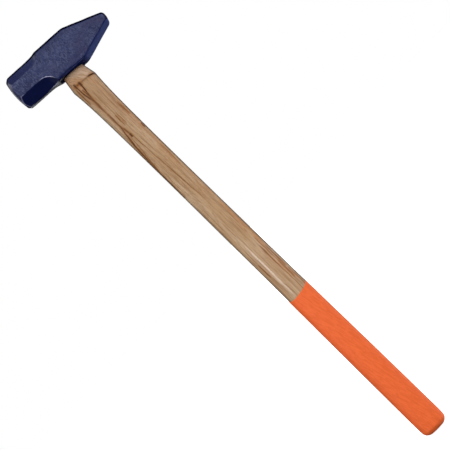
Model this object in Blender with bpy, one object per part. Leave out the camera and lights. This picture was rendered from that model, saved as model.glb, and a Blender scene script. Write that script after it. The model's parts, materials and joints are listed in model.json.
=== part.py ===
"""A cross peen sledge hammer on a long hickory handle, as six separate pieces.

Metres, +Z up. The handle hangs along -Z below the head, and the origin is where its axis
comes out of the head's top. The striking face looks along -X and the peen along +X, with the
peen's edge lying along Y.
"""

import math

import bmesh
import bpy

# Clearance between neighbouring pieces.
GAP = 0.0003

# The head hangs a little off square, with its peen towards the grip.
HANG = math.radians(3.95)

# Head, along its own centreline: u runs from the striking face (-) to the peen (+).
FACE_U = -0.0972
NOSE_U = 0.1050
HEAD_WIDTH = 0.0594
FACE_HEIGHT = 0.0604
POLL_HEIGHT = 0.0616
BODY_HEIGHT = 0.0630
STEP_START_U = -0.0340
STEP_END_U = -0.0240
PEEN_BEND_U = 0.0345
PEEN_BEND_RADIUS = 0.0270
PEEN_SLOPE = math.radians(19.0)
NOSE_WIDTH = 0.0530
NOSE_RADIUS = 0.0050
UPPER_EDGE_RADIUS = 0.0075
LOWER_EDGE_RADIUS = 0.0050
MOST_EDGE_SHARE = 0.8  # of the half height, near the thin peen
BLANK_OVERRUN = 0.0100  # steel beyond the striking face, for the face die to trim

# Striking face: a crowned disc with a turned bevel round it.
CROWN_RADIUS = 0.1150
FACE_RADIUS = 0.0272
BEVEL_REACH = 1.25  # length along the head for each unit of radius
DIE_RADIUS = 0.0600

# Poll chamfers: four flats that make the poll eight-sided and run out in hollow curves. Each
# has its distance from the centreline, where it starts to run out, and that curve's radius.
UPPER_CHAMFER = (0.0312, -0.0448, 0.0280)
LOWER_CHAMFER = (0.0284, -0.0453, 0.0244)
CUTTER_REACH = 0.0500
CUTTER_CLEARANCE = 0.0200

# Eye through the head: an oval that widens towards the top.
EYE_BOTTOM = (0.0360, 0.0264)
EYE_TOP = (0.0390, 0.0296)
EYE_CUT_LENGTH = 0.1000
CENTRELINE_DEPTH = BODY_HEIGHT / 2 / math.cos(HANG)  # below the eye's top, along the handle

# Handle: distances are measured down from the head's centreline.
HANDLE_END = 0.8807
SHOULDER_DISTANCE = 0.0589
SHOULDER_ARCH = 0.0016
OVAL_POWER = 2.15
SHAFT_POWER = 2.60
END_RADIUS = 0.0130
END_DOME = 0.0012
# Neck and shoulder: (distance, width, thickness, squareness). The neck swells right under
# the head into a rounded rectangle.
NECK = (
    (0.0320, 0.0354, 0.0258, OVAL_POWER),
    (0.0325, 0.0396, 0.0286, 3.2),
    (0.0342, 0.0416, 0.0298, 3.4),
    (0.0376, 0.0428, 0.0304, 3.4),
    (SHOULDER_DISTANCE, 0.0503, 0.0366, SHAFT_POWER),
)
# Shaft and grip: (distance, width, thickness), joined by a smooth curve.
SHAFT = (
    (SHOULDER_DISTANCE, 0.0503, 0.0366),
    (0.0850, 0.0466, 0.0352),
    (0.1200, 0.0443, 0.0342),
    (0.1800, 0.0430, 0.0334),
    (0.3000, 0.0426, 0.0326),
    (0.4200, 0.0436, 0.0326),
    (0.5400, 0.0450, 0.0332),
    (0.6600, 0.0470, 0.0342),
    (0.7600, 0.0484, 0.0352),
    (0.8500, 0.0490, 0.0358),
    (HANDLE_END, 0.0490, 0.0358),
)

# Where the shaft's surface is sampled: closer together where it tapers fast.
BARE_STATIONS = (0.070, 0.080, 0.095, 0.115, 0.145, 0.200, 0.270, 0.350, 0.430, 0.500)
COATED_START = 0.5750
COATED_END = 0.8600
COATED_SPANS = 7

# Grip coating: dipped with the handle held at a slant, so its rim is a slanted plane.
DIP_DISTANCE = 0.5480
DIP_SLOPE_X = 0.10
DIP_SLOPE_Y = 0.45
COAT_PROUD = 0.0004
COAT_THICKNESS = 0.0009
RIM_RAMP = 0.0020

# Wooden wedge, along X in the kerf, and two ribbed steel wedges driven across it.
WEDGE_TOP_THICKNESS = 0.0068
WEDGE_TIP_THICKNESS = 0.0020
WEDGE_DEPTH = 0.0380
WEDGE_TOP_LENGTH = 0.0368
WEDGE_TIP_LENGTH = 0.0310
KERF_EXTRA_DEPTH = 0.0015
STEEL_WIDTH = 0.0180
STEEL_DEPTH = 0.0240
STEEL_TOP_THICKNESS = 0.0036
STEEL_TIP_THICKNESS = 0.0012
STEEL_RIBS = 4
STEEL_RIB_STEP = 0.00035
STEEL_OFFSET = 0.0088

# Mesh fineness.
RING_POINTS = 32
CORNER_STEPS = 5
CURVE_STEPS = 6
CROWN_STEPS = 5
TURN_STEPS = 48

PAINT_BLUE = (0.035, 0.040, 0.115)
HICKORY = (0.480, 0.296, 0.162)
WEDGE_WOOD = (0.600, 0.430, 0.270)
STEEL = (0.420, 0.420, 0.430)
DIP_ORANGE = (0.800, 0.141, 0.042)


def clear_scene():
    for obj in list(bpy.data.objects):
        bpy.data.objects.remove(obj, do_unlink=True)


def make_material(name, colour, roughness, metallic=0.0):
    material = bpy.data.materials.new(name)
    material.use_nodes = True
    shader = material.node_tree.nodes["Principled BSDF"]
    shader.inputs["Base Color"].default_value = (*colour, 1.0)
    shader.inputs["Roughness"].default_value = roughness
    shader.inputs["Metallic"].default_value = metallic
    return material


def add_object(name, mesh, parent=None):
    obj = bpy.data.objects.new(name, mesh)
    bpy.context.scene.collection.objects.link(obj)
    obj.parent = parent
    return obj


def add_frame(name, height, tilt):
    """An empty to build in: its own origin at a height, tipped about Y with the head."""
    frame = add_object(name, None)
    frame.location.z = height
    frame.rotation_euler.y = tilt
    return frame


def add_piece(name, mesh, material, parent):
    """One visible piece of the hammer, shaded smooth except over its sharp edges."""
    mesh.materials.append(material)
    mesh.shade_smooth()
    mesh.set_sharp_from_angle(angle=math.radians(30))
    return add_object(name, mesh, parent)


def add_cutter(name, mesh, parent):
    cutter = add_object(name, mesh, parent)
    cutter.display_type = "WIRE"
    cutter.hide_render = True
    return cutter


def cut(obj, cutter, operation="DIFFERENCE"):
    modifier = obj.modifiers.new(cutter.name, "BOOLEAN")
    modifier.operation = operation
    modifier.solver = "EXACT"
    modifier.object = cutter


def mesh_from(name, bm):
    """Turns a bmesh into a mesh whose faces point outwards."""
    bmesh.ops.recalc_face_normals(bm, faces=bm.faces)
    mesh = bpy.data.meshes.new(name)
    bm.to_mesh(mesh)
    bm.free()
    return mesh


def loft(name, rings):
    """Skins a row of rings that all have the same number of points, and caps both ends."""
    bm = bmesh.new()
    loops = [[bm.verts.new(point) for point in ring] for ring in rings]
    for low, high in zip(loops, loops[1:]):
        for i in range(len(low)):
            j = (i + 1) % len(low)
            bm.faces.new((low[i], low[j], high[j], high[i]))
    bm.faces.new(loops[0])
    bm.faces.new(loops[-1])
    return mesh_from(name, bm)


def extrude_outline(name, outline, direction, depth):
    """A prism: a flat outline of 3-D points, swept both ways along a direction."""
    rings = []
    for side in (-0.5, 0.5):
        shift = [side * depth * part for part in direction]
        rings.append([[p + s for p, s in zip(point, shift)] for point in outline])
    return loft(name, rings)


def smoothstep(value, start, end):
    t = min(max((value - start) / (end - start), 0.0), 1.0)
    return t * t * (3.0 - 2.0 * t)


def steps(start, end, count):
    return [start + (end - start) * i / count for i in range(count + 1)]


# Head ---------------------------------------------------------------------------------


def bend_drop(u):
    """How far the peen's faces have sloped in from the body's, with a rounded bend."""
    slope = math.tan(PEEN_SLOPE)
    half_bend = PEEN_BEND_RADIUS * math.tan(PEEN_SLOPE / 2)
    past = u - (PEEN_BEND_U - half_bend)
    if past <= 0:
        return 0.0
    if past >= half_bend * (1 + math.cos(PEEN_SLOPE)):
        return (u - PEEN_BEND_U) * slope
    return PEEN_BEND_RADIUS - math.sqrt(PEEN_BEND_RADIUS**2 - past**2)


def nose_inset(u):
    past = max(u - (NOSE_U - NOSE_RADIUS), 0.0)
    return NOSE_RADIUS - math.sqrt(max(NOSE_RADIUS**2 - past**2, 0.0))


def head_section(u):
    """Half height, half width and the two edge radii of the head at one place."""
    along_poll = min((u - FACE_U) / (STEP_START_U - FACE_U), 1.0)
    on_body = smoothstep(u, STEP_START_U, STEP_END_U)
    half_height = (FACE_HEIGHT + (POLL_HEIGHT - FACE_HEIGHT) * along_poll) / 2
    half_height += (BODY_HEIGHT - POLL_HEIGHT) / 2 * on_body
    half_height -= bend_drop(u) + nose_inset(u)
    towards_nose = max((u - PEEN_BEND_U) / (NOSE_U - PEEN_BEND_U), 0.0)
    half_width = (HEAD_WIDTH + (NOSE_WIDTH - HEAD_WIDTH) * towards_nose) / 2 - nose_inset(u)
    most = MOST_EDGE_SHARE * half_height
    return half_height, half_width, min(UPPER_EDGE_RADIUS, most), min(LOWER_EDGE_RADIUS, most)


def head_ring(u):
    half_height, half_width, upper, lower = head_section(u)
    ring = []
    for quarter, radius in enumerate((upper, upper, lower, lower)):
        side_y = 1 if quarter in (0, 3) else -1
        side_w = 1 if quarter in (0, 1) else -1
        centre_y = side_y * (half_width - radius)
        centre_w = side_w * (half_height - radius)
        for angle in steps(quarter * math.pi / 2, (quarter + 1) * math.pi / 2, CORNER_STEPS):
            y = centre_y + radius * math.cos(angle)
            w = centre_w + radius * math.sin(angle)
            ring.append((u, y, w))
    return ring


def head_blank():
    """The forging before its poll is chamfered, as a loft of rounded rectangles."""
    half_bend = PEEN_BEND_RADIUS * math.tan(PEEN_SLOPE / 2)
    bend_end = PEEN_BEND_U + half_bend * math.cos(PEEN_SLOPE)
    nose_start = NOSE_U - NOSE_RADIUS
    nose_arc = [
        nose_start + NOSE_RADIUS * math.sin(angle) for angle in steps(0, math.pi / 2, CURVE_STEPS)
    ]
    stations = [FACE_U - BLANK_OVERRUN]
    stations += steps(STEP_START_U, STEP_END_U, CURVE_STEPS)
    stations += steps(PEEN_BEND_U - half_bend, bend_end, CURVE_STEPS)
    stations += steps(bend_end, nose_start, 3)[1:-1]
    stations += nose_arc
    return loft("hammer_head", [head_ring(u) for u in stations])


def face_die():
    """A turned block whose end gives the striking face its crown and bevel."""
    crown_centre = FACE_U + CROWN_RADIUS
    profile = []
    for angle in steps(0, math.asin(FACE_RADIUS / CROWN_RADIUS), CROWN_STEPS)[1:]:
        u = crown_centre - CROWN_RADIUS * math.cos(angle)
        profile.append((u, CROWN_RADIUS * math.sin(angle)))
    profile.append((u + BEVEL_REACH * (DIE_RADIUS - FACE_RADIUS), DIE_RADIUS))
    profile.append((NOSE_U + CUTTER_CLEARANCE, DIE_RADIUS))
    turn = [2 * math.pi * i / TURN_STEPS for i in range(TURN_STEPS)]
    rings = []
    for u, radius in profile:
        rings.append([(u, radius * math.cos(a), radius * math.sin(a)) for a in turn])
    return loft("face_die", rings)


def chamfer_cutter(distance, runout_start_u, runout_radius):
    """Cuts one poll chamfer: flat along the poll, then out of the steel on a hollow curve."""
    start_u = FACE_U - CUTTER_CLEARANCE
    outline = [(start_u, 0, CUTTER_REACH), (start_u, 0, distance)]
    highest = math.acos(1 - (CUTTER_REACH - distance) / runout_radius)
    for angle in steps(0, highest, 2 * CURVE_STEPS):
        u = runout_start_u + runout_radius * math.sin(angle)
        outline.append((u, 0, distance + runout_radius * (1 - math.cos(angle))))
    return extrude_outline("chamfer_cutter", outline, (0, 1, 0), 2 * CUTTER_REACH)


def oval_ring(z, half_x, half_y, power, slant=0.0, arch=0.0):
    """A ring of an oval whose sides are flatter the higher its power is.

    slant tips the ring about Y with the head, and arch lifts its front and back.
    """
    ring = []
    for i in range(RING_POINTS):
        angle = 2 * math.pi * i / RING_POINTS
        c, s = math.cos(angle), math.sin(angle)
        x = math.copysign(half_x * abs(c) ** (2 / power), c)
        y = math.copysign(half_y * abs(s) ** (2 / power), s)
        lift = arch * (y / half_y) ** 2 - slant * math.tan(HANG) * x
        ring.append((x, y, z + lift))
    return ring


def eye_halves(z):
    """Half length and half width of the eye at a height."""
    t = z / BODY_HEIGHT + 0.5
    return [(low + (high - low) * t) / 2 for low, high in zip(EYE_BOTTOM, EYE_TOP)]


def eye_cutter():
    rings = []
    for z in (-EYE_CUT_LENGTH / 2, EYE_CUT_LENGTH / 2):
        rings.append(oval_ring(z, *eye_halves(z), OVAL_POWER))
    return loft("eye_cutter", rings)


def make_head(head_frame, shaft_frame):
    material = make_material("painted_steel", PAINT_BLUE, roughness=0.42)
    head = add_piece("hammer_head", head_blank(), material, head_frame)
    upper, lower = chamfer_cutter(*UPPER_CHAMFER), chamfer_cutter(*LOWER_CHAMFER)
    for angle, cutter_mesh in ((45, upper), (135, lower), (225, lower), (315, upper)):
        cutter = add_cutter(f"chamfer_cutter_{angle}", cutter_mesh, head_frame)
        cutter.rotation_euler.x = math.radians(angle)
        cut(head, cutter)
    cut(head, add_cutter("face_die", face_die(), head_frame), "INTERSECT")
    cut(head, add_cutter("eye_cutter", eye_cutter(), shaft_frame))


# Handle -------------------------------------------------------------------------------


def shaft_size(distance):
    """Width and thickness of the shaft, on a curve through its stations."""
    last = len(SHAFT) - 2
    i = min(sum(distance > station[0] for station in SHAFT[1:-1]), last)
    before, start = SHAFT[max(i - 1, 0)], SHAFT[i]
    end, after = SHAFT[i + 1], SHAFT[min(i + 2, last + 1)]
    span = end[0] - start[0]
    t = (distance - start[0]) / span
    size = []
    for k in (1, 2):
        slope_in = (end[k] - before[k]) / (end[0] - before[0]) * span
        slope_out = (after[k] - start[k]) / (after[0] - start[0]) * span
        size.append(
            (2 * t**3 - 3 * t**2 + 1) * start[k]
            + (t**3 - 2 * t**2 + t) * slope_in
            + (3 * t**2 - 2 * t**3) * end[k]
            + (t**3 - t**2) * slope_out
        )
    return size


def dip_shift(x, y):
    """How far above the dip's middle height its rim lies at a point of the section."""
    return DIP_SLOPE_X * x + DIP_SLOPE_Y * y


def shaft_ring(distance, offset=0.0, follow_dip=False):
    """A ring of the shaft's surface, moved outwards by offset."""
    width, thickness = shaft_size(distance)
    ring = oval_ring(-distance, width / 2 + offset, thickness / 2 + offset, SHAFT_POWER)
    if follow_dip:
        ring = [(x, y, z + dip_shift(x, y)) for x, y, z in ring]
    return ring


def end_rings(offset):
    """Rounded end of the grip, moved outwards by offset."""
    rings = []
    radius = END_RADIUS + offset
    for angle in steps(0, math.pi / 2, CURVE_STEPS)[1:]:
        distance = HANDLE_END - END_DOME + offset - radius * (1 - math.sin(angle))
        width, thickness = shaft_size(min(distance, HANDLE_END))
        inset = radius * (1 - math.cos(angle)) - offset
        half_x, half_y = width / 2 - inset, thickness / 2 - inset
        rings.append(oval_ring(-distance, half_x, half_y, SHAFT_POWER))
    end_z = END_DOME / 4 - HANDLE_END - offset
    rings.append(oval_ring(end_z, half_x / 2, half_y / 2, SHAFT_POWER))
    return rings


def coated_rings(offset):
    """The shaft from just below the dip's rim to the grip's end, moved outwards by offset."""
    rings = [shaft_ring(DIP_DISTANCE + RIM_RAMP, offset, follow_dip=True)]
    for distance in steps(COATED_START, COATED_END, COATED_SPANS):
        rings.append(shaft_ring(distance, offset))
    return rings + end_rings(offset)


def tenon_rings():
    """The part of the handle in the eye, from its top down to the head's underside."""
    rings = []
    for z in steps(CENTRELINE_DEPTH, -BODY_HEIGHT / 2, 2):
        half_x, half_y = eye_halves(z)
        rings.append(oval_ring(z, half_x - GAP, half_y - GAP, OVAL_POWER, slant=1.0))
    return rings


def neck_rings():
    rings = []
    for distance, width, thickness, power in NECK:
        at_shoulder = distance == SHOULDER_DISTANCE
        slant = 0.0 if at_shoulder else 1.0
        arch = SHOULDER_ARCH if at_shoulder else 0.0
        rings.append(oval_ring(-distance, width / 2, thickness / 2, power, slant, arch))
    return rings


def handle_blank():
    """Tenon, neck, shoulder, shaft, and the slimmer wood under the grip coating."""
    below_coat = COAT_PROUD - COAT_THICKNESS - GAP
    rings = tenon_rings() + neck_rings()
    rings += [shaft_ring(distance) for distance in BARE_STATIONS]
    rings.append(shaft_ring(DIP_DISTANCE, follow_dip=True))
    rings += coated_rings(below_coat)
    return loft("handle", rings)


def kerf_mesh():
    """Saw kerf for the wooden wedge, open at the top and at both ends."""
    top = CUTTER_CLEARANCE
    tip = -WEDGE_DEPTH - KERF_EXTRA_DEPTH
    spread = (WEDGE_TOP_THICKNESS - WEDGE_TIP_THICKNESS) / WEDGE_DEPTH
    half_tip = WEDGE_TIP_THICKNESS / 2 + GAP
    half_top = half_tip + spread * (top - tip) / 2
    outline = [(0, -half_tip, tip), (0, half_tip, tip), (0, half_top, top), (0, -half_top, top)]
    return extrude_outline("kerf", outline, (1, 0, 0), 2 * EYE_TOP[0])


def make_handle(shaft_frame, eye_top_frame, steel_pockets):
    material = make_material("hickory", HICKORY, roughness=0.45)
    handle = add_piece("handle", handle_blank(), material, shaft_frame)
    cut(handle, add_cutter("kerf", kerf_mesh(), eye_top_frame))
    for pocket in steel_pockets:
        cut(handle, pocket)


def make_coating(shaft_frame):
    """A thin open-topped sleeve that also covers the grip's end, with a feather-edged rim."""
    inside = [shaft_ring(DIP_DISTANCE, GAP, follow_dip=True)]
    inside += coated_rings(COAT_PROUD - COAT_THICKNESS)
    outside = [shaft_ring(DIP_DISTANCE, COAT_PROUD, follow_dip=True)]
    outside += coated_rings(COAT_PROUD)
    mesh = loft("grip_coating", inside[::-1] + outside)
    material = make_material("dipped_coating", DIP_ORANGE, roughness=0.55)
    add_piece("grip_coating", mesh, material, shaft_frame)


# Wedges -------------------------------------------------------------------------------


def wooden_wedge_mesh():
    rings = []
    for z, length, thickness in (
        (-WEDGE_DEPTH, WEDGE_TIP_LENGTH, WEDGE_TIP_THICKNESS),
        (0.0, WEDGE_TOP_LENGTH, WEDGE_TOP_THICKNESS),
    ):
        x, y = length / 2, thickness / 2
        rings.append([(-x, -y, z), (x, -y, z), (x, y, z), (-x, y, z)])
    return loft("wooden_wedge", rings)


def steel_half_thickness(depth):
    spread = (STEEL_TOP_THICKNESS - STEEL_TIP_THICKNESS) / 2
    return STEEL_TOP_THICKNESS / 2 - spread * depth / STEEL_DEPTH


def steel_wedge_mesh():
    """A flat wedge with a row of barbs down both its faces."""
    flank = [(steel_half_thickness(0), 0.0)]
    for rib in range(1, STEEL_RIBS + 1):
        depth = STEEL_DEPTH * rib / (STEEL_RIBS + 1)
        half = steel_half_thickness(depth)
        flank += [(half, depth), (half - STEEL_RIB_STEP, depth)]
    flank.append((steel_half_thickness(STEEL_DEPTH) / 2, STEEL_DEPTH))
    outline = [(x, 0, -depth) for x, depth in flank]
    outline += [(-x, 0, -depth) for x, depth in reversed(flank)]
    return extrude_outline("steel_wedge", outline, (0, 1, 0), STEEL_WIDTH)


def steel_pocket_mesh():
    """The slot that a steel wedge opens in the wood, with clearance all round."""
    top = CUTTER_CLEARANCE
    tip = -STEEL_DEPTH - GAP
    half_top = steel_half_thickness(-top) + GAP
    half_tip = steel_half_thickness(STEEL_DEPTH) + GAP
    outline = [(-half_tip, 0, tip), (half_tip, 0, tip), (half_top, 0, top), (-half_top, 0, top)]
    return extrude_outline("steel_pocket", outline, (0, 1, 0), STEEL_WIDTH + 2 * GAP)


def make_steel_wedges(frame):
    """Both steel wedges. Returns the pockets that they open in the wood."""
    steel = make_material("wedge_steel", STEEL, roughness=0.40, metallic=1.0)
    wedge_mesh = steel_wedge_mesh()
    pocket_mesh = steel_pocket_mesh()
    pockets = []
    for side, place in ((-1, "face_side"), (1, "peen_side")):
        wedge = add_object(f"steel_wedge_{place}", wedge_mesh, frame)
        pocket = add_cutter(f"steel_pocket_{place}", pocket_mesh, frame)
        for obj in (wedge, pocket):
            obj.location.x = side * STEEL_OFFSET
        pockets.append(pocket)
    wedge_mesh.materials.append(steel)
    return pockets


def make_wooden_wedge(frame, steel_pockets):
    material = make_material("wedge_wood", WEDGE_WOOD, roughness=0.60)
    wedge = add_piece("wooden_wedge", wooden_wedge_mesh(), material, frame)
    for pocket in steel_pockets:
        cut(wedge, pocket)


def main():
    clear_scene()
    head_frame = add_frame("head_frame", -CENTRELINE_DEPTH, HANG)
    shaft_frame = add_frame("shaft_frame", -CENTRELINE_DEPTH, 0.0)
    eye_top_frame = add_frame("eye_top_frame", 0.0, HANG)
    make_head(head_frame, shaft_frame)
    pockets = make_steel_wedges(eye_top_frame)
    make_wooden_wedge(eye_top_frame, pockets)
    make_handle(shaft_frame, eye_top_frame, pockets)
    make_coating(shaft_frame)


main()
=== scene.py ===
"""Looks for a cross peen sledge hammer: a blue painted head on a lacquered hickory handle
whose grip is dipped in orange.

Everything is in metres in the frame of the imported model: +Z up along the handle's axis, the
origin where that axis comes out of the head's top, the striking face towards -X and the peen
towards +X. The camera looks along +Y.
"""

import json
import math

import bmesh
import bpy
import numpy as np
from mathutils import Matrix, Vector, noise
from mathutils.bvhtree import BVHTree


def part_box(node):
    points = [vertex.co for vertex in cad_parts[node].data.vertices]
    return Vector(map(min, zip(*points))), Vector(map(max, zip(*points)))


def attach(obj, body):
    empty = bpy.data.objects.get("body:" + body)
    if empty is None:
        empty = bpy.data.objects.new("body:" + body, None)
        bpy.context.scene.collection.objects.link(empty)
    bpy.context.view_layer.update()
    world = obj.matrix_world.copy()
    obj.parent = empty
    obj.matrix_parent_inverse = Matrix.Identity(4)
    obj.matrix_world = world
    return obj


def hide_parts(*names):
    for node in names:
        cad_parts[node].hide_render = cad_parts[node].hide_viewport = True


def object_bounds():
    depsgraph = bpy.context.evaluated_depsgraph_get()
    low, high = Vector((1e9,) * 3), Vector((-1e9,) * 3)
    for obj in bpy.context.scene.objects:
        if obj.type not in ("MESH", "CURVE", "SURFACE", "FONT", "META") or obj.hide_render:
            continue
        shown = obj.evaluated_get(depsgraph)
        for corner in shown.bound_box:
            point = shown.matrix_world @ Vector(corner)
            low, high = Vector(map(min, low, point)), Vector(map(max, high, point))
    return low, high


MM = 0.001
WEDGES = ("wooden_wedge", "steel_wedge_face_side", "steel_wedge_peen_side")

# Camera: looks along +Y at the middle of the hammer, rolled so that the handle runs down to
# the right.
CAMERA_DISTANCE = 2.097
CAMERA_LENS = 100.8
CAMERA_ROLL = math.radians(45.66)
CAMERA_SHIFT = Vector((-0.0093, 0.0, 0.0313))

# Head: fineness, (size, height) of the forging's lumps, how far its sides stand inside the
# CAD's and its undersides outside them, and the lower margin that falls away beside the eye.
HEAD_VOXEL = 0.8 * MM
HEAD_LUMPS = ((22 * MM, 0.35 * MM), (7 * MM, 0.12 * MM))
HEAD_SHRINK = 0.25 * MM
UNDER_SWELL = 0.7 * MM
MARGIN_HEIGHT = -0.0525
MARGIN_LEAN = 0.19
MARGIN_SLOPE = 0.14
MARGIN_DROP = 1.3 * MM

# Fineness of the handle's rings, and how far out the rays start that find its surface.
ANGLES = 180
FINE_ROW = 0.5 * MM
COARSE_ROW = 2.5 * MM
PROBE_REACH = 0.08

# Handle, as depths below the head's top. The first ring is found TOP_SKIP below its end face.
TOP_SKIP = 0.1 * MM
KERF_DEPTH = 0.030
KERF_MOUTH_POINTS = 7
NECK_DEPTH = 0.045
CREASE_TOP_DEPTH = 0.080
SHOULDER_DEPTH = 0.0905
CHIP_END_DEPTH = 0.125
END_ROUNDING = 0.013
END_ROWS = 14

# Wedge slots: their play, the band at a wedge's top that its cutter repeats higher up, how
# much higher, and the size below which a sliver of the cut mesh is merged away.
CUT_GAP = 0.3 * MM
CUT_TOP_BAND = 2 * MM
CUT_CLEARANCE = 3 * MM
SLIVER = 0.01 * MM

# Coating: its wall, how far it stands proud of the wood, and how far below its rim the wood
# has sunk under it. The rim slants, and is rounded by (depth below the rim, inset) steps.
COAT_WALL = 0.8 * MM
COAT_PROUD = 0.4 * MM
COAT_LAP = 4 * MM
RIM_DEPTH = 0.5832
RIM_SLOPE_X = 0.14
RIM_SLOPE_Y = 0.36
RIM_BLEND = 0.040
RIM_RIPPLE = 0.35 * MM
RIM_EDGE = ((0.0, 0.60 * MM), (0.4 * MM, 0.25 * MM), (1.0 * MM, 0.05 * MM))

# Shoulder crease and chip on the handle's front. The crease is a path of (x, height) with a
# strength of (x, strength) along it. The chip's two sides are paths of (height, x).
CREASE = (
    (-0.0240, -0.0900),
    (-0.0150, -0.0865),
    (-0.0060, -0.0880),
    (0.0020, -0.0885),
    (0.0150, -0.0895),
    (0.0240, -0.0935),
)
CREASE_STRENGTH = (
    (-0.0240, 0.05),
    (-0.0160, 0.35),
    (-0.0140, 0.90),
    (-0.0060, 1.00),
    (-0.0040, 0.45),
    (0.0100, 0.45),
    (0.0140, 0.95),
    (0.0240, 1.00),
)
CREASE_DEPTH = 0.5 * MM
CREASE_WIDTH = 0.8 * MM
# Width of the painted shade drawn along the crease.
CREASE_SHADE_WIDTH = 2.0 * MM
CHIP_UPPER = ((-0.124, -0.0105), (-0.112, -0.0090), (-0.100, -0.0070), (-0.088, -0.0055))
CHIP_LOWER = ((-0.124, -0.0108), (-0.112, -0.0128), (-0.100, -0.0140), (-0.086, -0.0148))
CHIP_DEPTH = 0.8 * MM

# Colours, linear.
NAVY = (0.0028, 0.0078, 0.066)
# Lighter dust colour, which is also painted light on the flat cheeks.
NAVY_DUST_LIT = (0.016, 0.030, 0.120)
NAVY_PURPLE = (0.022, 0.024, 0.095)
NAVY_FLECK = (0.050, 0.062, 0.160)
# Painted light: the lighter blue given to the peen's underside.
NAVY_UNDER_LIT = (0.065, 0.090, 0.280)
NAVY_SHADE = (0.0010, 0.0015, 0.010)
NAVY_SWIRL = (0.075, 0.092, 0.205)
NAVY_WORN = (0.024, 0.028, 0.080)
NAVY_BARE = (0.260, 0.265, 0.340)
# Painted highlight along the sharp rim of the lower chamfer's run-out and front end.
NAVY_GLINT = (0.600, 0.600, 0.850)
HICKORY = (0.490, 0.310, 0.170)
HICKORY_LIGHT = (0.560, 0.385, 0.235)
HICKORY_RED = (0.500, 0.250, 0.112)
HICKORY_PINK = (0.600, 0.415, 0.290)
HICKORY_LATE = (0.280, 0.140, 0.058)
HICKORY_VEIN = (0.340, 0.125, 0.024)
HICKORY_KNOT = (0.050, 0.013, 0.002)
HICKORY_SHADE = (0.060, 0.031, 0.014)
ASH = (0.600, 0.430, 0.270)
ASH_DARK = (0.430, 0.270, 0.145)
STEEL = (0.420, 0.420, 0.430)
STEEL_DARK = (0.260, 0.255, 0.255)
STEEL_OXIDE = (0.130, 0.070, 0.040)
ORANGE = (0.920, 0.156, 0.036)
ORANGE_DEEP = (0.800, 0.122, 0.022)


def dash(start, end, x, half_width, darkness=0.6):
    """A short straight streak between two heights."""
    middle = (start + end) / 2
    return (
        ((start, x), (end, x)),
        ((start, 0.0), (middle, 0.9), (end, 0.0)),
        half_width,
        darkness,
    )


# Streaks in the front of the handle: path of (height, x), strength along it as
# (height, strength), half-width, and darkness.
VEINS = (
    (
        ((-0.160, -0.0108), (-0.135, -0.0103), (-0.120, -0.0103), (-0.108, -0.0100)),
        ((-0.160, 0.0), (-0.150, 0.8), (-0.122, 1.0), (-0.112, 0.6), (-0.108, 0.0)),
        2.0 * MM,
        0.60,
    ),
    (
        ((-0.212, -0.0065), (-0.195, -0.0088), (-0.185, -0.0103), (-0.155, -0.0100)),
        ((-0.212, 0.0), (-0.205, 0.8), (-0.185, 1.0), (-0.165, 0.9), (-0.155, 0.0)),
        1.6 * MM,
        0.65,
    ),
    (
        ((-0.370, 0.0030), (-0.340, 0.0010), (-0.300, -0.0015), (-0.245, -0.0040), (-0.205, -0.0065)),
        ((-0.370, 0.0), (-0.340, 0.45), (-0.250, 0.45), (-0.215, 0.5), (-0.205, 0.0)),
        0.8 * MM,
        0.85,
    ),
    (
        ((-0.345, -0.0194), (-0.290, -0.0195), (-0.245, -0.0176), (-0.205, -0.0135), (-0.183, -0.0105)),
        ((-0.345, 0.0), (-0.320, 0.9), (-0.270, 0.8), (-0.205, 1.0), (-0.183, 0.0)),
        1.4 * MM,
        0.80,
    ),
    (
        ((-0.292, -0.0200), (-0.262, -0.0165), (-0.240, -0.0133), (-0.225, -0.0115), (-0.210, -0.0105)),
        ((-0.292, 0.0), (-0.270, 0.7), (-0.230, 0.6), (-0.210, 0.0)),
        0.8 * MM,
        0.75,
    ),
    (CHIP_UPPER, ((-0.126, 0.0), (-0.115, 0.9), (-0.088, 1.0), (-0.086, 0.0)), 1.4 * MM, 1.0),
    (CHIP_LOWER, ((-0.126, 0.0), (-0.115, 0.8), (-0.086, 1.0), (-0.084, 0.0)), 1.3 * MM, 1.0),
    dash(-0.114, -0.097, -0.0105, 0.9 * MM, 0.9),
    dash(-0.0940, -0.0840, -0.0062, 2.6 * MM, 1.0),
    dash(-0.0915, -0.0810, -0.0148, 2.4 * MM, 1.0),
    dash(-0.212, -0.204, -0.0078, 1.9 * MM, 1.0),
    dash(-0.182, -0.152, 0.0160, 1.3 * MM, 0.5),
    dash(-0.215, -0.204, 0.0185, 1.3 * MM, 0.9),
    dash(-0.190, -0.162, 0.0015, 0.7 * MM, 0.4),
    dash(-0.190, -0.165, -0.0030, 0.9 * MM, 0.5),
    dash(-0.126, -0.090, -0.0185, 0.9 * MM, 0.5),
    dash(-0.542, -0.492, 0.0175, 1.0 * MM, 0.6),
    dash(-0.566, -0.524, 0.0145, 0.7 * MM, 0.4),
    dash(-0.600, -0.545, 0.0180, 0.6 * MM, 0.4),
    dash(-0.545, -0.485, 0.0098, 0.8 * MM, 0.6),
    dash(-0.610, -0.540, 0.0105, 0.6 * MM, 0.4),
    dash(-0.518, -0.470, 0.0138, 0.6 * MM, 0.3),
    dash(-0.300, -0.250, 0.0160, 0.6 * MM, 0.2),
    dash(-0.538, -0.508, -0.0145, 0.9 * MM, 0.6),
)


# Node graphs ---------------------------------------------------------------------------


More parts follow.
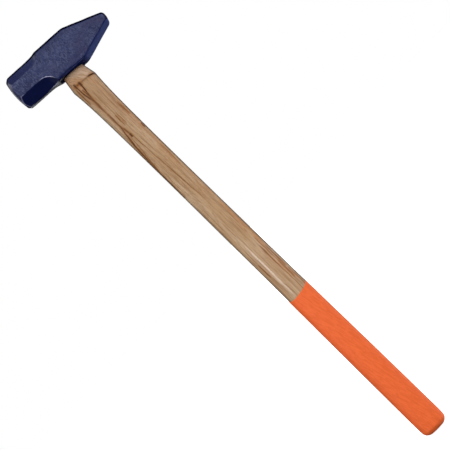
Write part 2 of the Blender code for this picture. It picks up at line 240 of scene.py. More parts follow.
class Graph:
    """Builds a node tree. Each method adds nodes and returns the last one's output socket.

    Sockets go by name, or by number where a node has several of one name.
    """

    def __init__(self, tree):
        self.tree = tree
        tree.nodes.clear()

    def add(self, kind, inputs, output=0, **settings):
        node = self.tree.nodes.new(kind)
        for name, value in settings.items():
            setattr(node, name, value)
        for key, value in inputs.items():
            if isinstance(value, bpy.types.NodeSocket):
                self.tree.links.new(value, node.inputs[key])
            else:
                node.inputs[key].default_value = value
        return node.outputs[output] if node.outputs else None

    def math(self, operation, a, b=0.0):
        return self.add("ShaderNodeMath", {0: a, 1: b}, operation=operation)

    def times(self, *values):
        """The product of several values."""
        product = values[0]
        for value in values[1:]:
            product = self.math("MULTIPLY", product, value)
        return product

    def most(self, *values):
        """The largest of several values."""
        largest = values[0]
        for value in values[1:]:
            largest = self.math("MAXIMUM", largest, value)
        return largest

    def vector(self, operation, a, b, output=0):
        return self.add("ShaderNodeVectorMath", {0: a, 1: b}, output, operation=operation)

    def split(self, vector):
        """The vector's x, y and z."""
        node = self.tree.nodes.new("ShaderNodeSeparateXYZ")
        self.tree.links.new(vector, node.inputs[0])
        return list(node.outputs)

    def mix(self, factor, a, b):
        """Blends two colours."""
        a, b = [(*c, 1.0) if isinstance(c, tuple) else c for c in (a, b)]
        return self.add("ShaderNodeMix", {0: factor, 6: a, 7: b}, 2, data_type="RGBA")

    def spread(self, value, low, high, bottom=0.0, top=1.0, kind="SMOOTHSTEP"):
        """bottom below low, top above high, and a smooth or LINEAR step between."""
        inputs = {0: value, 1: low, 2: high, 3: bottom, 4: top}
        return self.add("ShaderNodeMapRange", inputs, interpolation_type=kind)

    def scaled(self, vector, x, y, z):
        """The vector stretched along each axis."""
        return self.vector("MULTIPLY", vector, (x, y, z))

    def noise(self, vector, scale, detail=2.0, roughness=0.5, distortion=0.0):
        inputs = {"Vector": vector, "Scale": scale, "Detail": detail}
        inputs.update({"Roughness": roughness, "Distortion": distortion})
        return self.add("ShaderNodeTexNoise", inputs)

    def curve(self, value, points):
        """A smooth curve through (value, result) points."""
        points = sorted(points)
        low, high = points[0][0], points[-1][0]
        bottom = min(result for _, result in points)
        top = max(result for _, result in points) + 1e-9
        along = self.spread(value, low, high, kind="LINEAR")
        node = self.tree.nodes.new("ShaderNodeFloatCurve")
        self.tree.links.new(along, node.inputs["Value"])
        line = node.mapping.curves[0]
        for _ in points[2:]:
            line.points.new(0.5, 0.5)
        for point, (place, result) in zip(line.points, points):
            point.location = ((place - low) / (high - low), (result - bottom) / (top - bottom))
        node.mapping.update()
        return self.spread(node.outputs[0], 0.0, 1.0, bottom, top, "LINEAR")

    def bump(self, height, distance, normal=None):
        inputs = {"Height": height, "Distance": distance}
        if normal is not None:
            inputs["Normal"] = normal
        return self.add("ShaderNodeBump", inputs)

    def principled(self, **inputs):
        """Ends the tree in a Principled BSDF, with underscores in the inputs' names as spaces."""
        named = {name.replace("_", " "): value for name, value in inputs.items()}
        shader = self.add("ShaderNodeBsdfPrincipled", named)
        self.add("ShaderNodeOutputMaterial", {"Surface": shader})


def new_material(name):
    """A material, its node graph, and the socket of the place on the object in metres."""
    material = bpy.data.materials.new(name)
    material.use_nodes = True
    graph = Graph(material.node_tree)
    place = graph.add("ShaderNodeTexCoord", {}, "Object")
    return material, graph, place


# Materials -----------------------------------------------------------------------------


def painted_steel(lean):
    """Semi-gloss navy paint, sprayed over the scale and tool marks of a forging, with painted light and
    shade on its faces and edges.
    """
    material, g, place = new_material("painted_steel")
    x, _, z = g.split(place)
    facing = g.split(g.add("ShaderNodeNewGeometry", {}, "Normal"))
    below_top = g.math("ADD", z, g.times(x, math.tan(lean)))
    clouds = g.noise(place, 60, 5, 0.62, 0.6)
    marks = g.noise(g.scaled(place, 1.0, 1.0, 0.55), 230, 4, 0.65, 1.6)
    specks = g.noise(place, 800, 3, 0.6)
    colour = paint_colour(g, place, facing, below_top, clouds, marks)
    colour = worn_and_glint(g, colour, place, facing)
    shade = edge_shade(g, x, facing, below_top)
    colour = g.mix(shade, colour, NAVY_SHADE)
    dull = g.most(dull_places(g, place, facing), shade)
    relief = g.spread(facing[2], -0.90, -0.40, 0.25, 1.0)
    normal = g.bump(g.times(clouds, relief), 1.9 * MM)
    normal = g.bump(g.times(marks, relief), 1.1 * MM, normal)
    normal = g.bump(specks, 0.10 * MM, normal)
    g.principled(
        Base_Color=colour,
        Roughness=g.most(g.spread(marks, 0.3, 0.7, 0.26, 0.42, "LINEAR"), dull),
        Normal=normal,
        Specular_IOR_Level=g.spread(dull, 0.0, 1.0, 0.30, 0.05, "LINEAR"),
        IOR=g.spread(shade, 0.0, 1.0, 1.5, 1.02, "LINEAR"),
    )
    return material


def paint_colour(g, place, facing, below_top, clouds, marks):
    """The paint before wear: dust, flecks and mottling on the cheeks, which also carry painted light,
    and deeper navy elsewhere as painted shade.
    """
    x = g.split(place)[0]
    # Painted light and shade: flat cheeks get the lighter colour, their rounded edges and the band
    # under the top stay darker.
    lit_cheek = g.times(
        g.spread(g.math("ABSOLUTE", facing[1]), 0.92, 0.985),
        g.spread(below_top, -0.018, -0.008, 1.0, 0.45),
    )
    upper_chamfer = g.times(
        g.spread(facing[2], 0.35, 0.60),
        g.spread(x, -0.090, -0.045, 0.0, 0.45),
    )
    # Dust mottling and painted light together; the chamfers keep the darker navy as painted shade.
    dust_and_light = g.times(
        g.most(lit_cheek, upper_chamfer),
        g.spread(x, -0.060, -0.020, 0.50, 1.0),
        g.spread(x, 0.035, 0.075, 1.0, 0.7),
        g.spread(x, -0.092, -0.080, 0.4, 1.0),
    )
    colour = g.mix(g.times(dust_and_light, g.spread(clouds, 0.42, 0.55, 0.30, 1.0)), NAVY, NAVY_DUST_LIT)
    colour = g.mix(g.times(dust_and_light, g.spread(marks, 0.47, 0.58)), colour, NAVY_FLECK)
    curls = g.noise(g.scaled(place, 1.0, 1.0, 0.45), 130, 2, 0.5, 3.5)
    swirls = g.times(g.spread(curls, 0.51, 0.60), g.spread(x, -0.055, -0.030, 0.7, 0.3), lit_cheek)
    colour = g.mix(swirls, colour, NAVY_SWIRL)
    tint = g.noise(place, 28, 2)
    purple = g.times(g.spread(tint, 0.42, 0.60, top=0.85), g.spread(x, -0.08, 0.05), lit_cheek)
    colour = g.mix(purple, colour, NAVY_PURPLE)
    # Painted light: the peen's downward-facing underside is painted lighter.
    lit_under_peen = g.times(g.spread(x, 0.022, 0.040), g.spread(facing[2], -0.92, -0.35, 1.0, 0.0))
    return g.mix(lit_under_peen, colour, NAVY_UNDER_LIT)


def worn_and_glint(g, colour, place, facing):
    """Rubs the paint thin on the striking face's bevel, and paints a bright highlight along the edges
    of the lower chamfer.
    """
    x, _, z = g.split(place)
    bevel = g.spread(facing[0], -0.70, -0.30, 0.6, 0.0)
    colour = g.mix(bevel, colour, NAVY_WORN)
    bevel_top = g.times(bevel, g.spread(z, -0.024, -0.008))
    colour = g.mix(bevel_top, colour, NAVY_BARE)
    run_out = g.times(g.spread(x, -0.054, -0.036), g.spread(x, -0.032, -0.026, 1.0, 0.0))
    front_end = g.spread(x, -0.086, -0.078, 0.35, 0.0)
    sharp = g.add("ShaderNodeNewGeometry", {}, "Pointiness")
    # Painted highlight: a bright glint along the sharp rim of the run-out and the chamfer's front end.
    edges = g.times(
        g.most(run_out, front_end),
        g.spread(z, -0.038, -0.032, 1.0, 0.0),
        g.spread(sharp, 0.508, 0.522),
    )
    return g.mix(edges, colour, NAVY_GLINT)


def edge_shade(g, x, facing, below_top):
    """1 where the head's upper edges and the peen's tip turn away from the eye."""
    away = g.add("ShaderNodeLayerWeight", {"Blend": 0.5}, "Facing")
    body = g.times(g.spread(away, 0.12, 0.32), g.spread(x, -0.030, -0.022))
    poll_edge = g.most(g.spread(below_top, -0.0048, -0.0034), g.spread(facing[2], 0.74, 0.84))
    poll = g.times(g.spread(away, 0.34, 0.42), poll_edge)
    upward = g.most(g.spread(facing[2], 0.10, 0.40), g.spread(facing[0], 0.50, 0.70))
    upper = g.times(g.most(body, poll, g.spread(away, 0.52, 0.75)), upward)
    front = g.spread(facing[1], -0.28, -0.12, 1.0, 0.0)
    return g.times(g.most(upper, g.spread(away, 0.88, 0.95)), front)


def dull_places(g, place, facing):
    """1 where the shine is off: the underside beside the eye, and part of it on the chamfers."""
    x = g.split(place)[0]
    from_eye = g.vector("LENGTH", g.scaled(place, 1, 1, 0), (0, 0, 0), "Value")
    beside_eye = g.most(g.spread(from_eye, 0.024, 0.032, 1.0, 0.0), g.spread(x, 0.0, 0.01))
    underside = g.times(beside_eye, g.spread(facing[2], -0.60, -0.20, 1.0, 0.0))
    chamfer = g.times(g.spread(facing[2], -0.95, -0.82), g.spread(facing[2], -0.60, -0.40, 0.7, 0.0))
    return g.most(underside, chamfer)


def path_distance(g, along, across, path):
    """Signed distance from a path of (along, across) points, measured across it."""
    return g.math("SUBTRACT", across, g.curve(along, path))


def streak(g, colour, distance, width, darkness, strength):
    """Draws a brown line with a paler border along zero distance."""
    distance = g.math("ABSOLUTE", distance)
    border = g.times(g.spread(distance, width * 0.4, width * 2.6, 0.85, 0.0), strength)
    core = g.times(g.spread(distance, width * 0.2, width * 1.2, darkness, 0.0), strength)
    return g.mix(core, g.mix(border, colour, HICKORY_VEIN), HICKORY_KNOT)


def chip_mask(g, x, z):
    """1 inside the chip below the shoulder."""
    return g.times(
        g.spread(path_distance(g, z, x, CHIP_LOWER), -0.3 * MM, 0.5 * MM),
        g.spread(path_distance(g, z, x, CHIP_UPPER), -0.5 * MM, 0.3 * MM, 1.0, 0.0),
        g.spread(z, -0.124, -0.118),
        g.spread(z, -0.088, -0.086, 1.0, 0.0),
    )


def hickory():
    """Lacquered hickory: long grain, pores, and dark streaks down the front."""
    material, g, place = new_material("hickory")
    x, y, z = g.split(place)
    front = g.spread(y, -0.004, 0.002, 1.0, 0.0)
    long_grain = g.noise(g.scaled(place, 450, 450, 14), 1.0, 4, 0.65, 0.3)
    fine_grain = g.noise(g.scaled(place, 1100, 1100, 70), 1.0, 3, 0.6)
    colour = wood_colour(g, place, long_grain, fine_grain)
    colour = neck_colour(g, colour, place, front)
    bent = g.noise(g.scaled(place, 200, 200, 60), 1.0, 2)
    crooked = g.math("ADD", x, g.spread(bent, 0.3, 0.7, -0.7 * MM, 0.7 * MM, "LINEAR"))
    for path, strengths, width, darkness in VEINS:
        strength = g.times(g.curve(z, strengths), front)
        distance = path_distance(g, z, crooked, path)
        colour = streak(g, colour, distance, width, darkness, strength)
    away = g.add("ShaderNodeLayerWeight", {"Blend": 0.5}, "Facing")
    colour = g.mix(g.spread(away, 0.38, 0.70, top=0.85), colour, HICKORY_SHADE)
    normal = g.bump(long_grain, 0.10 * MM)
    normal = g.bump(fine_grain, 0.06 * MM, normal)
    polish = g.times(g.spread(z, -0.50, -0.46, 0.8, 0.0), g.spread(long_grain, 0.3, 0.6, 1.0, 0.5))
    g.principled(
        Base_Color=colour,
        Roughness=0.30,
        Normal=normal,
        Specular_IOR_Level=0.2,
        Coat_Weight=polish,
        Coat_Roughness=0.20,
    )
    return material


def wood_colour(g, place, long_grain, fine_grain):
    """Hickory with redder wood towards the peen side and darker late wood in its grain."""
    x, _, z = g.split(place)
    sway = g.noise(g.scaled(place, 30, 30, 9), 1.0, 2)
    patches = g.noise(g.scaled(place, 120, 120, 30), 1.0, 3, 0.6)
    colour = g.mix(g.spread(sway, 0.38, 0.62), HICKORY, HICKORY_LIGHT)
    red = g.times(
        g.spread(x, 0.002, 0.016),
        g.spread(z, -0.45, -0.30, 1.0, 0.6),
        g.spread(patches, 0.40, 0.60),
    )
    colour = g.mix(red, colour, HICKORY_RED)
    colour = g.mix(g.spread(long_grain, 0.46, 0.66, top=0.75), colour, HICKORY_LATE)
    return g.mix(g.spread(fine_grain, 0.50, 0.64, top=0.55), colour, HICKORY_LATE)


def neck_colour(g, colour, place, front):
    """Adds the paler neck with its slanting grain, the chip, and painted shade along the crease below
    the neck.
    """
    x, _, z = g.split(place)
    above = path_distance(g, x, z, CREASE)
    neck = g.times(g.spread(above, -0.2 * MM, 0.8 * MM), front)
    slant = g.math("ADD", g.times(x, 0.78), g.times(z, 0.62))
    pale = g.times(neck, g.spread(slant, -0.055, -0.046, 0.1, 0.75))
    colour = g.mix(pale, colour, HICKORY_PINK)
    brown = g.times(neck, g.spread(slant, -0.056, -0.049, 0.55, 0.0))
    colour = g.mix(brown, colour, HICKORY_RED)
    turned = g.add("ShaderNodeMapping", {"Vector": place, "Rotation": (0.0, math.radians(38), 0.0)})
    rays = g.noise(g.scaled(turned, 600, 600, 40), 1.0, 3, 0.6)
    colour = g.mix(g.times(neck, g.spread(rays, 0.46, 0.62, top=0.6)), colour, HICKORY_LATE)
    chip = g.times(chip_mask(g, x, z), front, 0.5)
    colour = g.mix(chip, colour, HICKORY_RED)
    # Painted shade: a dark line along the shoulder crease.
    strength = g.times(g.curve(x, CREASE_STRENGTH), front)
    return streak(g, colour, above, CREASE_SHADE_WIDTH, 1.0, strength)


def dipped_coating():
    """Thin orange dip that lets the wood's grain show through as faint ridges."""
    material, g, place = new_material("dipped_coating")
    turned = g.add("ShaderNodeMapping", {"Vector": place, "Rotation": (0.0, math.radians(12), 0.0)})
    ridges = g.noise(g.scaled(turned, 420, 420, 60), 1.0, 3, 0.6, 0.8)
    lumps = g.noise(g.scaled(place, 160, 160, 60), 1.0, 3, 0.6)
    colour = g.mix(g.spread(ridges, 0.38, 0.62, top=0.7), ORANGE, ORANGE_DEEP)
    normal = g.bump(ridges, 0.6 * MM)
    normal = g.bump(lumps, 0.8 * MM, normal)
    g.principled(Base_Color=colour, Roughness=0.55, Normal=normal, Specular_IOR_Level=0.25)
    return material


def wedge_wood():
    """Bare hardwood, sawn off across its end."""
    material, g, place = new_material("wedge_wood")
    rings = g.noise(g.scaled(place, 70, 600, 12), 1.0, 3, 0.55, 0.6)
    pores = g.noise(g.scaled(place, 1500, 1500, 90), 1.0, 3, 0.6)
    saw = g.noise(g.scaled(place, 1300, 90, 90), 1.0, 2)
    colour = g.mix(g.spread(rings, 0.40, 0.60), ASH, ASH_DARK)
    colour = g.mix(g.spread(pores, 0.52, 0.64, top=0.7), colour, HICKORY_LATE)
    normal = g.bump(pores, 0.15 * MM)
    normal = g.bump(saw, 0.30 * MM, normal)
    g.principled(Base_Color=colour, Roughness=0.75, Normal=normal, Specular_IOR_Level=0.2)
    return material


def wedge_steel():
    """Bare rolled steel with hammer marks and a little brown oxide."""
    material, g, place = new_material("wedge_steel")
    rolled = g.noise(g.scaled(place, 250, 1600, 250), 1.0, 3, 0.6)
    dints = g.noise(place, 500, 3, 0.6)
    oxide = g.noise(place, 160, 4, 0.65)
    brown = g.spread(oxide, 0.50, 0.64, top=0.8)
    colour = g.mix(g.spread(rolled, 0.35, 0.65), STEEL, STEEL_DARK)
    colour = g.mix(brown, colour, STEEL_OXIDE)
    normal = g.bump(rolled, 0.10 * MM)
    normal = g.bump(dints, 0.35 * MM, normal)
    g.principled(
        Base_Color=colour,
        Metallic=g.spread(brown, 0.0, 0.8, 1.0, 0.3, "LINEAR"),
        Roughness=g.spread(dints, 0.3, 0.7, 0.30, 0.55, "LINEAR"),
        Normal=normal,
    )
    return material


# Meshes --------------------------------------------------------------------------------


def head_lean():
    """How far the head is tipped about Y from square to the handle."""
    mounts = {mount["name"]: mount for mount in frame["record"]["mounts"]}
    axis = mounts["head_top"]["axis"]
    return math.atan2(axis[0], axis[2])


def add_piece(name, mesh, material, node):
    """Adds a visible piece that stands for a CAD node."""
    mesh.materials.clear()
    mesh.materials.append(material)
    piece = bpy.data.objects.new(name, mesh)
    bpy.context.scene.collection.objects.link(piece)
    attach(piece, "root")
    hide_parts(node)


def with_modifier(mesh, kind, **settings):
    """The mesh as a modifier leaves it."""
    helper = bpy.data.objects.new("helper", mesh)
    bpy.context.scene.collection.objects.link(helper)
    modifier = helper.modifiers.new(kind, kind)
    for name, value in settings.items():
        setattr(modifier, name, value)
    graph = bpy.context.evaluated_depsgraph_get()
    result = bpy.data.meshes.new_from_object(helper.evaluated_get(graph))
    bpy.data.objects.remove(helper)
    return result


def margin_slope(spot, normal):
    """How far the cheeks' lower margins fall away beside the eye."""
    below = (MARGIN_HEIGHT + MARGIN_LEAN * spot.x - spot.z) * MARGIN_SLOPE
    along = ease(spot.x, -0.022, -0.014) * (1 - ease(spot.x, 0.030, 0.045))
    return min(max(below, 0.0), MARGIN_DROP) * along * ease(abs(normal.y), 0.3, 0.6)


def head_swell(spot, normal):
    """How far the head's skin stands off the CAD's surface."""
    lumps = sum(height * noise.noise(spot / size) for size, height in HEAD_LUMPS)
    level = normal.z * normal.z
    under = UNDER_SWELL * level if normal.z < 0 else 0.0
    return lumps + under - HEAD_SHRINK * (1 - level) - margin_slope(spot, normal)


def head_mesh(lean):
    """The head with its edges softened and its skin as uneven as forging leaves it."""
    mesh = frame["nodes"]["hammer_head"].data.copy()
    square = Matrix.Rotation(-lean, 4, "Y")
    mesh.transform(square)
    mesh = with_modifier(mesh, "REMESH", mode="VOXEL", voxel_size=HEAD_VOXEL)
    mesh = with_modifier(mesh, "SMOOTH", factor=0.5, iterations=5)
    normals = [vertex.normal.copy() for vertex in mesh.vertices]
    for vertex, normal in zip(mesh.vertices, normals):
        vertex.co += normal * head_swell(vertex.co, normal)
    mesh.transform(square.inverted())
    mesh.shade_smooth()
    return mesh


def make_head(lean):
    add_piece("head", head_mesh(lean), painted_steel(lean), "hammer_head")


class Probe:
    """Finds the surface of a CAD node along lines that meet the handle's axis."""

    def __init__(self, node):
        graph = bpy.context.evaluated_depsgraph_get()
        self.tree = BVHTree.FromObject(frame["nodes"][node], graph)

    def ring(self, height, slope_x=0.0, slope_y=0.0):
        """A ring of points on the outside, in a plane that rises by the slopes."""
        points = []
        for i in range(ANGLES):
            angle = 2 * math.pi * i / ANGLES
            c, s = math.cos(angle), math.sin(angle)
            way = Vector((c, s, slope_x * c + slope_y * s))
            start = Vector((0, 0, height)) + way * PROBE_REACH
            hit = self.tree.ray_cast(start, -way, way.length * PROBE_REACH)[0]
            points.append(hit if hit else Vector((0, 0, height)))
        return points


def smooth_ring(ring, rounds=2):
    """Takes the CAD's facets out of a ring."""
    points = np.array(ring)
    for _ in range(rounds):
        points = (np.roll(points, 1, 0) + 2 * points + np.roll(points, -1, 0)) / 4
    return [Vector(point) for point in points]


def skin(name, rings):
    """A closed mesh over a row of rings with equal numbers of points."""
    bm = bmesh.new()
    loops = [[bm.verts.new(point) for point in ring] for ring in rings]
    for low, high in zip(loops, loops[1:]):
        for i in range(len(low)):
            j = (i + 1) % len(low)
            bm.faces.new((low[i], low[j], high[j], high[i]))
    for loop in (loops[0], loops[-1]):
        middle = sum((vert.co for vert in loop), Vector()) / len(loop)
        hub = bm.verts.new(middle)
        for i in range(len(loop)):
            bm.faces.new((loop[i], loop[(i + 1) % len(loop)], hub))
    bmesh.ops.recalc_face_normals(bm, faces=bm.faces)
    mesh = bpy.data.meshes.new(name)
    bm.to_mesh(mesh)
    bm.free()
    mesh.shade_smooth()
    return mesh


def ease(value, start, end):
    """0 before start, 1 after end, and a smooth step between."""
    t = min(max((value - start) / (end - start), 0.0), 1.0)
    return t * t * (3 - 2 * t)


def end_depths(bottom):
    """Depths of the rings over the grip's rounded end, closer together towards its tip."""
    start = bottom - END_ROUNDING
    angles = [math.pi / 2 * (i + 1) / (END_ROWS + 1) for i in range(END_ROWS)]
    return [start + END_ROUNDING * math.sin(angle) for angle in angles]


def row_depths(start, end):
    """Depths of the handle's rings: close together round the shoulder and its chip."""
    depths = [start]
    while depths[-1] < end:
        fine = NECK_DEPTH < depths[-1] < CHIP_END_DEPTH
        depths.append(depths[-1] + (FINE_ROW if fine else COARSE_ROW))
    return depths[:-1]


def close_kerf_mouths(ring, height, slope_x):
    """Rounds the tenon's two ends, where the kerf's mouths leave no surface to find."""
    mouth = KERF_MOUTH_POINTS
    centre = Vector((0, 0, height))
    radii = [Vector((p.x, p.y)).length for p in ring]
    for end in (0, ANGLES // 2):
        near, far = radii[(end + mouth) % ANGLES], radii[(end + 2 * mouth) % ANGLES]
        bend = (near - far) / 3
        for step in range(-mouth + 1, mouth):
            i = (end + step) % ANGLES
            angle = 2 * math.pi * i / ANGLES
            radius = near + bend * (1 - (step / mouth) ** 2)
            rise = slope_x * math.cos(angle)
            ring[i] = centre + Vector((math.cos(angle), math.sin(angle), rise)) * radius
    return ring


def between(value, path):
    """Result of a path of (place, result) points at a place between them."""
    places, results = zip(*path)
    return float(np.interp(value, places, results))


def shoulder_relief(point):
    """How far the surface is cut back at a point by the crease and the chip."""
    if point.y > 0 or not CREASE_TOP_DEPTH < -point.z < CHIP_END_DEPTH:
        return 0.0
    off = (point.z - between(point.x, CREASE)) / CREASE_WIDTH
    groove = CREASE_DEPTH * math.exp(-off * off) * between(point.x, CREASE_STRENGTH)
    low, high = between(point.z, CHIP_LOWER), between(point.z, CHIP_UPPER)
    inside = ease(point.x, low - 0.3 * MM, low + 0.7 * MM)
    inside *= 1 - ease(point.x, high - 0.7 * MM, high + 0.3 * MM)
    along = ease(point.z, -0.122, -0.100) * (1 - ease(point.z, -0.088, -0.086))
    return max(groove, CHIP_DEPTH * inside * along)


def cut_relief(ring):
    """The ring with the crease and the chip cut into it."""
    cut = []
    for point in ring:
        out = Vector((point.x, point.y, 0)).normalized()
        cut.append(point - out * shoulder_relief(point))
    return cut


def close_under_coating(ring, coat):
    """The wood's ring near the coating's rim: even down to the rim, then sunk under it."""
    closed = []
    for point, outside in zip(ring, coat):
        flat = Vector((point.x, point.y, 0))
        rim = RIM_SLOPE_X * point.x + RIM_SLOPE_Y * point.y - RIM_DEPTH
        radius = max(flat.length, outside.xy.length - COAT_PROUD)
        radius -= COAT_WALL * ease(rim - point.z, 0.0, COAT_LAP)
        closed.append(flat.normalized() * radius + Vector((0, 0, point.z)))
    return closed


def handle_mesh(lean):
    """The handle's wood as rings down the CAD's handle, tipped with the head in its eye."""
    wood, coat = Probe("handle"), Probe("grip_coating")
    bottom = -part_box("handle")[0].z
    depths = row_depths(0.0, bottom - END_ROUNDING) + end_depths(bottom)
    rings = []
    for depth in depths:
        tilt = -math.tan(lean) * (1 - ease(depth, NECK_DEPTH, SHOULDER_DEPTH))
        ring = wood.ring(-max(depth, TOP_SKIP), slope_x=tilt)
        if depth < KERF_DEPTH:
            ring = close_kerf_mouths(ring, -depth, tilt)
        if abs(depth - RIM_DEPTH) < RIM_BLEND:
            ring = close_under_coating(ring, coat.ring(-depth))
        rings.append(cut_relief(smooth_ring(ring)))
    return skin("handle_wood", rings)


def wedge_cutter(node):
    """A slightly larger copy of a wedge, to clear its place out of the tenon."""
    points = [vertex.co for vertex in frame["nodes"][node].data.vertices]
    middle = sum(points, Vector()) / len(points)
    top = max(point.z for point in points)
    bm = bmesh.new()
    for point in points:
        grown = point + (point - middle).normalized() * CUT_GAP
        bm.verts.new(grown)
        if point.z > top - CUT_TOP_BAND:
            bm.verts.new(grown + Vector((0, 0, CUT_CLEARANCE)))
    bmesh.ops.convex_hull(bm, input=bm.verts)
    loose = [vert for vert in bm.verts if not vert.link_faces]
    bmesh.ops.delete(bm, geom=loose, context="VERTS")
    mesh = bpy.data.meshes.new("cutter")
    bm.to_mesh(mesh)
    bm.free()
    cutter = bpy.data.objects.new("cutter", mesh)
    bpy.context.scene.collection.objects.link(cutter)
    return cutter


def without_slivers(mesh):
    """The mesh with the slivers that its cuts left merged away."""
    bm = bmesh.new()
    bm.from_mesh(mesh)
    bmesh.ops.remove_doubles(bm, verts=bm.verts, dist=SLIVER)
    bmesh.ops.dissolve_degenerate(bm, edges=bm.edges, dist=SLIVER)
    bm.to_mesh(mesh)
    bm.free()
    return mesh


def make_handle(lean):
    mesh = handle_mesh(lean)
    for node in WEDGES:
        cutter = wedge_cutter(node)
        mesh = with_modifier(mesh, "BOOLEAN", operation="DIFFERENCE", object=cutter, solver="EXACT")
        bpy.data.objects.remove(cutter)
    mesh = without_slivers(mesh)
    mesh.shade_smooth()
    add_piece("handle_wood", mesh, hickory(), "handle")


def coating_mesh():
    """The coating as a closed thin sleeve whose rim wanders a little."""
    probe = Probe("grip_coating")
    bottom = -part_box("grip_coating")[0].z
    depths = [RIM_DEPTH + depth for depth, _ in RIM_EDGE]
    while depths[-1] < bottom - END_ROUNDING:
        depths.append(depths[-1] + COARSE_ROW)
    depths = depths[:-1] + end_depths(bottom)
    rings = []
    for depth in depths:
        slant = 1 - ease(depth, RIM_DEPTH, RIM_DEPTH + RIM_BLEND)
        rings.append(smooth_ring(probe.ring(-depth, RIM_SLOPE_X * slant, RIM_SLOPE_Y * slant)))
    for i, (_, inset) in enumerate(RIM_EDGE):
        rings[i] = shrunk(rings[i], inset)
    for point in rings[0]:
        point.z += RIM_RIPPLE * noise.noise(point / (6 * MM))
    inner = [shrunk(ring, COAT_WALL) for ring in rings]
    return skin("grip_coating_skin", [*inner[::-1], *rings])


def shrunk(ring, inset):
    """The ring moved towards the handle's axis, by half its radius at most."""
    moved = []
    for point in ring:
        out = Vector((point.x, point.y, 0))
        moved.append(point - out.normalized() * min(inset, out.length * 0.5))
    return moved


def make_coating():
    add_piece("coating", coating_mesh(), dipped_coating(), "grip_coating")


def make_wedges():
    wood, steel = wedge_wood(), wedge_steel()
    for node in WEDGES:
        materials = frame["nodes"][node].data.materials
        materials.clear()
        materials.append(wood if node == "wooden_wedge" else steel)


# Stage ---------------------------------------------------------------------------------


def make_world():
    """White behind the hammer, which is lit by a soft band of light in front of it."""
    world = bpy.data.worlds.new("studio")
    bpy.context.scene.world = world
    world.use_nodes = True
    g = Graph(world.node_tree)
    way = g.add("ShaderNodeTexCoord", {}, "Generated")
    x, y, z = g.split(way)
    above_floor = g.spread(z, -0.20, 0.12)
    below_roof = g.spread(z, 0.30, 0.85, 1.0, 0.10)
    before_back = g.spread(y, 0.25, 0.80, 1.0, 0.0)
    face_side = g.spread(x, -0.90, -0.50, 0.20, 1.0)
    peen_side = g.spread(x, 0.45, 0.90, 1.0, 0.50)
    camera_gap = lobe(g, way, (0.0, -1.0, 0.12), 10, 34, 0.28, 1.0)
    light = g.times(3.3, above_floor, below_roof, before_back, face_side, peen_side, camera_gap)
    peen_glow = lobe(g, way, (0.80, 0.35, -0.55), 15, 35, 2.4)
    underside_glow = lobe(g, way, (-0.26, 1.0, 0.02), 10, 17, 1.8)
    bevel_glint = lobe(g, way, (-0.60, -0.68, -0.39), 4, 12, 10.0)
    ambient = 0.02
    for extra in (peen_glow, underside_glow, bevel_glint, ambient):
        light = g.math("ADD", light, extra)
    seen = g.add("ShaderNodeLightPath", {}, "Is Camera Ray")
    lit = g.add("ShaderNodeBackground", {"Color": (1, 1, 1, 1), "Strength": light})
    white = g.add("ShaderNodeBackground", {"Color": (1, 1, 1, 1), "Strength": 1.0})
    surface = g.add("ShaderNodeMixShader", {0: seen, 1: lit, 2: white})
    g.add("ShaderNodeOutputWorld", {"Surface": surface})


def lobe(g, way, axis, inner, outer, middle=1.0, edge=0.0):
    """middle within inner degrees of an axis, falling to edge at outer degrees."""
    towards = g.vector("DOT_PRODUCT", way, Vector(axis).normalized(), "Value")
    low, high = math.cos(math.radians(outer)), math.cos(math.radians(inner))
    return g.spread(towards, low, high, edge, middle)


def make_strip_light():
    """A narrow soft light that glints on the lacquer above the grip."""
    data = bpy.data.lights.new("strip", "AREA")
    data.shape = "RECTANGLE"
    data.size = 0.05
    data.size_y = 0.12
    data.energy = 0.5
    strip = bpy.data.objects.new("strip", data)
    bpy.context.scene.collection.objects.link(strip)
    place = Vector((-0.18, -0.60, -0.55))
    aim = Vector((-0.004, -0.015, -0.53)) - place
    turn = aim.to_track_quat("-Z", "Y").to_matrix().to_4x4()
    strip.matrix_world = Matrix.Translation(place) @ turn


def make_back_light():
    """Lights the hammer's back. No piece mirrors it, so it leaves the front's glints alone."""
    data = bpy.data.lights.new("back", "SUN")
    data.energy = 2.2
    data.angle = math.radians(40)
    lamp = bpy.data.objects.new("back", data)
    bpy.context.scene.collection.objects.link(lamp)
    lamp.visible_glossy = False
    source = Vector((-0.1, 1.0, 0.3))
    lamp.matrix_world = source.to_track_quat("Z", "Y").to_matrix().to_4x4()


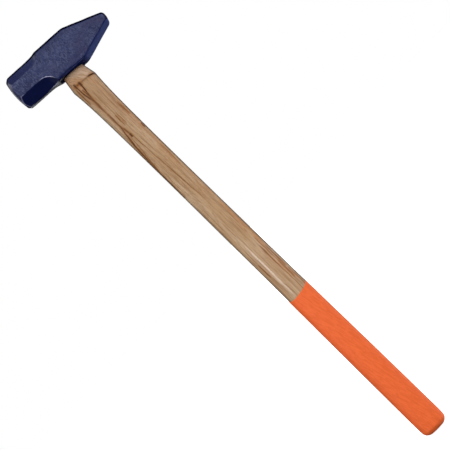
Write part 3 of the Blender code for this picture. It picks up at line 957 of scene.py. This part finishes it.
def make_floor(height):
    """A wide pale floor that is white except where the hammer shades it."""
    bm = bmesh.new()
    bmesh.ops.create_grid(bm, x_segments=1, y_segments=1, size=30.0)
    mesh = bpy.data.meshes.new("floor")
    bm.to_mesh(mesh)
    bm.free()
    floor = bpy.data.objects.new("floor", mesh)
    bpy.context.scene.collection.objects.link(floor)
    floor.location.z = height
    floor.visible_glossy = False
    floor.visible_diffuse = False
    material = bpy.data.materials.new("floor")
    material.use_nodes = True
    g = Graph(material.node_tree)
    glow = g.add("ShaderNodeEmission", {"Color": (1, 1, 1, 1), "Strength": 0.8})
    paper = g.add("ShaderNodeBsdfDiffuse", {"Color": (0.8, 0.8, 0.8, 1)})
    top = g.add("ShaderNodeAddShader", {0: glow, 1: paper})
    below = g.add("ShaderNodeBsdfTransparent", {})
    from_below = g.add("ShaderNodeNewGeometry", {}, "Backfacing")
    surface = g.add("ShaderNodeMixShader", {0: from_below, 1: top, 2: below})
    g.add("ShaderNodeOutputMaterial", {"Surface": surface})
    mesh.materials.append(material)


def make_camera(low, high):
    data = bpy.data.cameras.new("camera")
    data.lens = CAMERA_LENS
    camera = bpy.data.objects.new("camera", data)
    bpy.context.scene.collection.objects.link(camera)
    level = Matrix.Rotation(math.radians(90), 4, "X")
    roll = Matrix.Rotation(CAMERA_ROLL, 4, "Y")
    place = (low + high) / 2 + CAMERA_SHIFT
    place.y = -CAMERA_DISTANCE
    camera.matrix_world = Matrix.Translation(place) @ roll @ level
    bpy.context.scene.camera = camera


with open("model.json") as file:
    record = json.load(file)
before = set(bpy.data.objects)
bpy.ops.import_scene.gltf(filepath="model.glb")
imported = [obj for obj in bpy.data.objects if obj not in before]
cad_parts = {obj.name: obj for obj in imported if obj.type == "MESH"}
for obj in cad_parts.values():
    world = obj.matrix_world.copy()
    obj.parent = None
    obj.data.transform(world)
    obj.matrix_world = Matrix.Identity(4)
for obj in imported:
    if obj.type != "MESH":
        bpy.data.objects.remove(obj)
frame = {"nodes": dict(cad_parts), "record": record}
cad_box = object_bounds()
lean = head_lean()
make_head(lean)
make_handle(lean)
make_coating()
make_wedges()
make_world()
make_strip_light()
make_back_light()
make_floor(cad_box[0].z)
make_camera(*cad_box)
bpy.context.scene.view_settings.view_transform = "Standard"
